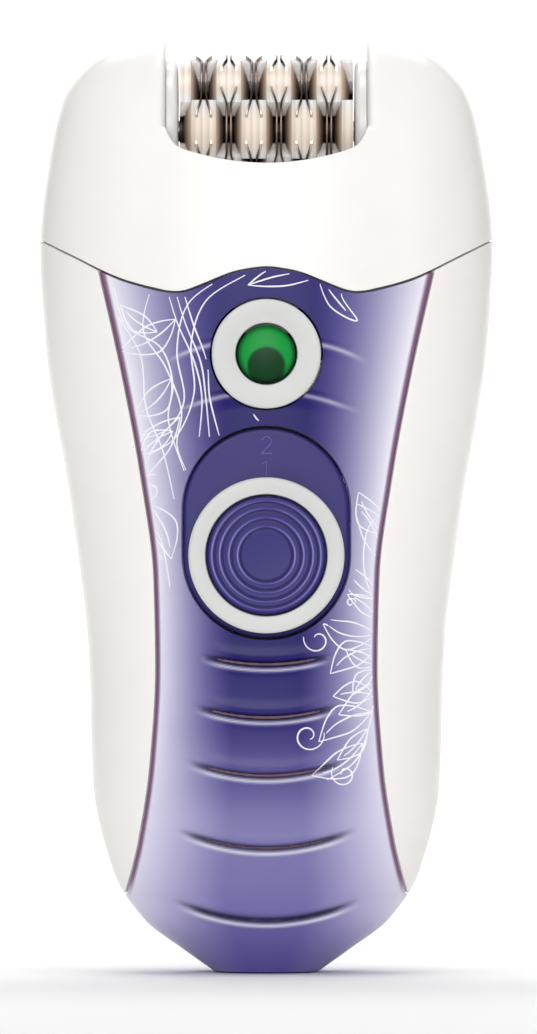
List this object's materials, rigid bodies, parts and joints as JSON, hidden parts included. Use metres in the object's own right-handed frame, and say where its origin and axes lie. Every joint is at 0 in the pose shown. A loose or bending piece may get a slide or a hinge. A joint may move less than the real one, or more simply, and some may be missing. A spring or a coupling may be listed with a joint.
{
  "type": "epilator",
  "caption": "Cordless hand-held epilator with a waisted two-tone handle, sliding switch knob, release button and a lift-off head that holds a motor-driven tweezer drum.",
  "frame": {"origin": "middle of the flat land under the base, at the bottom of the whole part", "axes": "+Z along the handle towards the head, -Y out of the front where the knob and button are, +X to the right seen from the front"},
  "size_m": [0.0644, 0.0378, 0.132],
  "materials": {
    "pearl_plastic": "warm white gloss with a pearl sheen",
    "violet_plastic": "violet gloss, paler towards the side edges",
    "silver_plastic": "silver satin coating",
    "green_lens": "translucent green",
    "grey_plastic": "light grey moulded",
    "barrel_plastic": "beige grey, smooth, with a bright facet",
    "spring_steel": "spring steel",
    "steel": "bright steel",
    "black_plastic": "black moulded",
    "acetal": "natural acetal",
    "brass": "plain brass",
    "board": "green board",
    "cell_wrap": "plain printed sleeve over a metal can"
  },
  "bodies": {
    "handle": {"front_shell": "pearl_plastic", "rear_shell": "pearl_plastic", "front_panel": "violet_plastic", "switch_plate": "violet_plastic", "slide_switch": "black_plastic", "circuit_board": "board", "indicator_lamp": "green_lens", "charge_socket": "black_plastic", "battery_cell": "cell_wrap", "battery_contact": "steel", "battery_spring_plate": "steel", "motor_can": "steel", "motor_end_cap": "black_plastic", "gear_plate": "grey_plastic", "neck_plate": "grey_plastic", "housing_screw_1": "steel", "housing_screw_2": "steel", "housing_screw_3": "steel", "housing_screw_4": "steel", "release_spring": "steel"},
    "switch": {"switch_slider": "violet_plastic", "knob_ring": "silver_plastic", "knob_cap": "violet_plastic"},
    "button": {"release_button": "silver_plastic", "indicator_lens": "green_lens", "latch_hook": "silver_plastic"},
    "rotor": {"motor_shaft": "steel", "motor_rotor": "brass", "motor_pinion": "brass"},
    "gear": {"reduction_gear": "acetal", "drive_shaft": "steel"},
    "head": {"head_housing": "pearl_plastic", "drum_cradle": "grey_plastic", "head_base_plate": "grey_plastic", "axle_bushing_left": "brass", "axle_bushing_right": "brass", "closing_cam_left": "steel", "closing_cam_right": "steel", "head_screw_left": "steel", "head_screw_right": "steel"},
    "input": {"input_shaft": "acetal", "input_pinion": "brass"},
    "drum": {"drum_axle": "steel", "crown_gear": "acetal", "drum_segment_1": "barrel_plastic", "drum_segment_2": "barrel_plastic", "drum_segment_3": "barrel_plastic", "drum_segment_4": "barrel_plastic", "drum_segment_5": "barrel_plastic", "drum_segment_6": "barrel_plastic", "drum_segment_7": "barrel_plastic", "drum_segment_8": "barrel_plastic", "tweezer_plates_1": "spring_steel", "tweezer_plates_2": "spring_steel", "tweezer_plates_3": "spring_steel", "tweezer_plates_4": "spring_steel", "tweezer_plates_5": "spring_steel", "tweezer_plates_6": "spring_steel"}
  },
  "joints": [
    {"name": "switch_slide", "type": "slide", "parent": "handle", "child": "switch", "axis": [0, 0, 1], "range_m": [0, 0.0062]},
    {"name": "button_press", "type": "slide", "parent": "handle", "child": "button", "axis": [0, 1, 0], "range_m": [0, 0.0015], "stiffness_N_per_m": 300, "deforming": ["release_spring"]},
    {"name": "head_lift", "type": "slide", "parent": "handle", "child": "head", "axis": [0, 0, 1], "range_m": [0, 0.025]},
    {"name": "drum_spin", "type": "hinge", "parent": "head", "child": "drum", "pos_m": [0, 0, 0.1194], "axis": [1, 0, 0], "continuous": true},
    {"name": "input_spin", "type": "hinge", "parent": "head", "child": "input", "pos_m": [0.02017, 0, 0.105], "axis": [0, 0, 1], "continuous": true},
    {"name": "gear_spin", "type": "hinge", "parent": "handle", "child": "gear", "pos_m": [0.02017, 0, 0.092], "axis": [0, 0, 1], "continuous": true},
    {"name": "rotor_spin", "type": "hinge", "parent": "handle", "child": "rotor", "pos_m": [0.01123, 0.004, 0.08], "axis": [0, 0, 1], "continuous": true}
  ],
  "couplings": [
    {"joint": "input_spin", "follows": "drum_spin", "ratio": -2.75},
    {"joint": "gear_spin", "follows": "drum_spin", "ratio": -2.75},
    {"joint": "rotor_spin", "follows": "drum_spin", "ratio": 6.875}
  ]
}
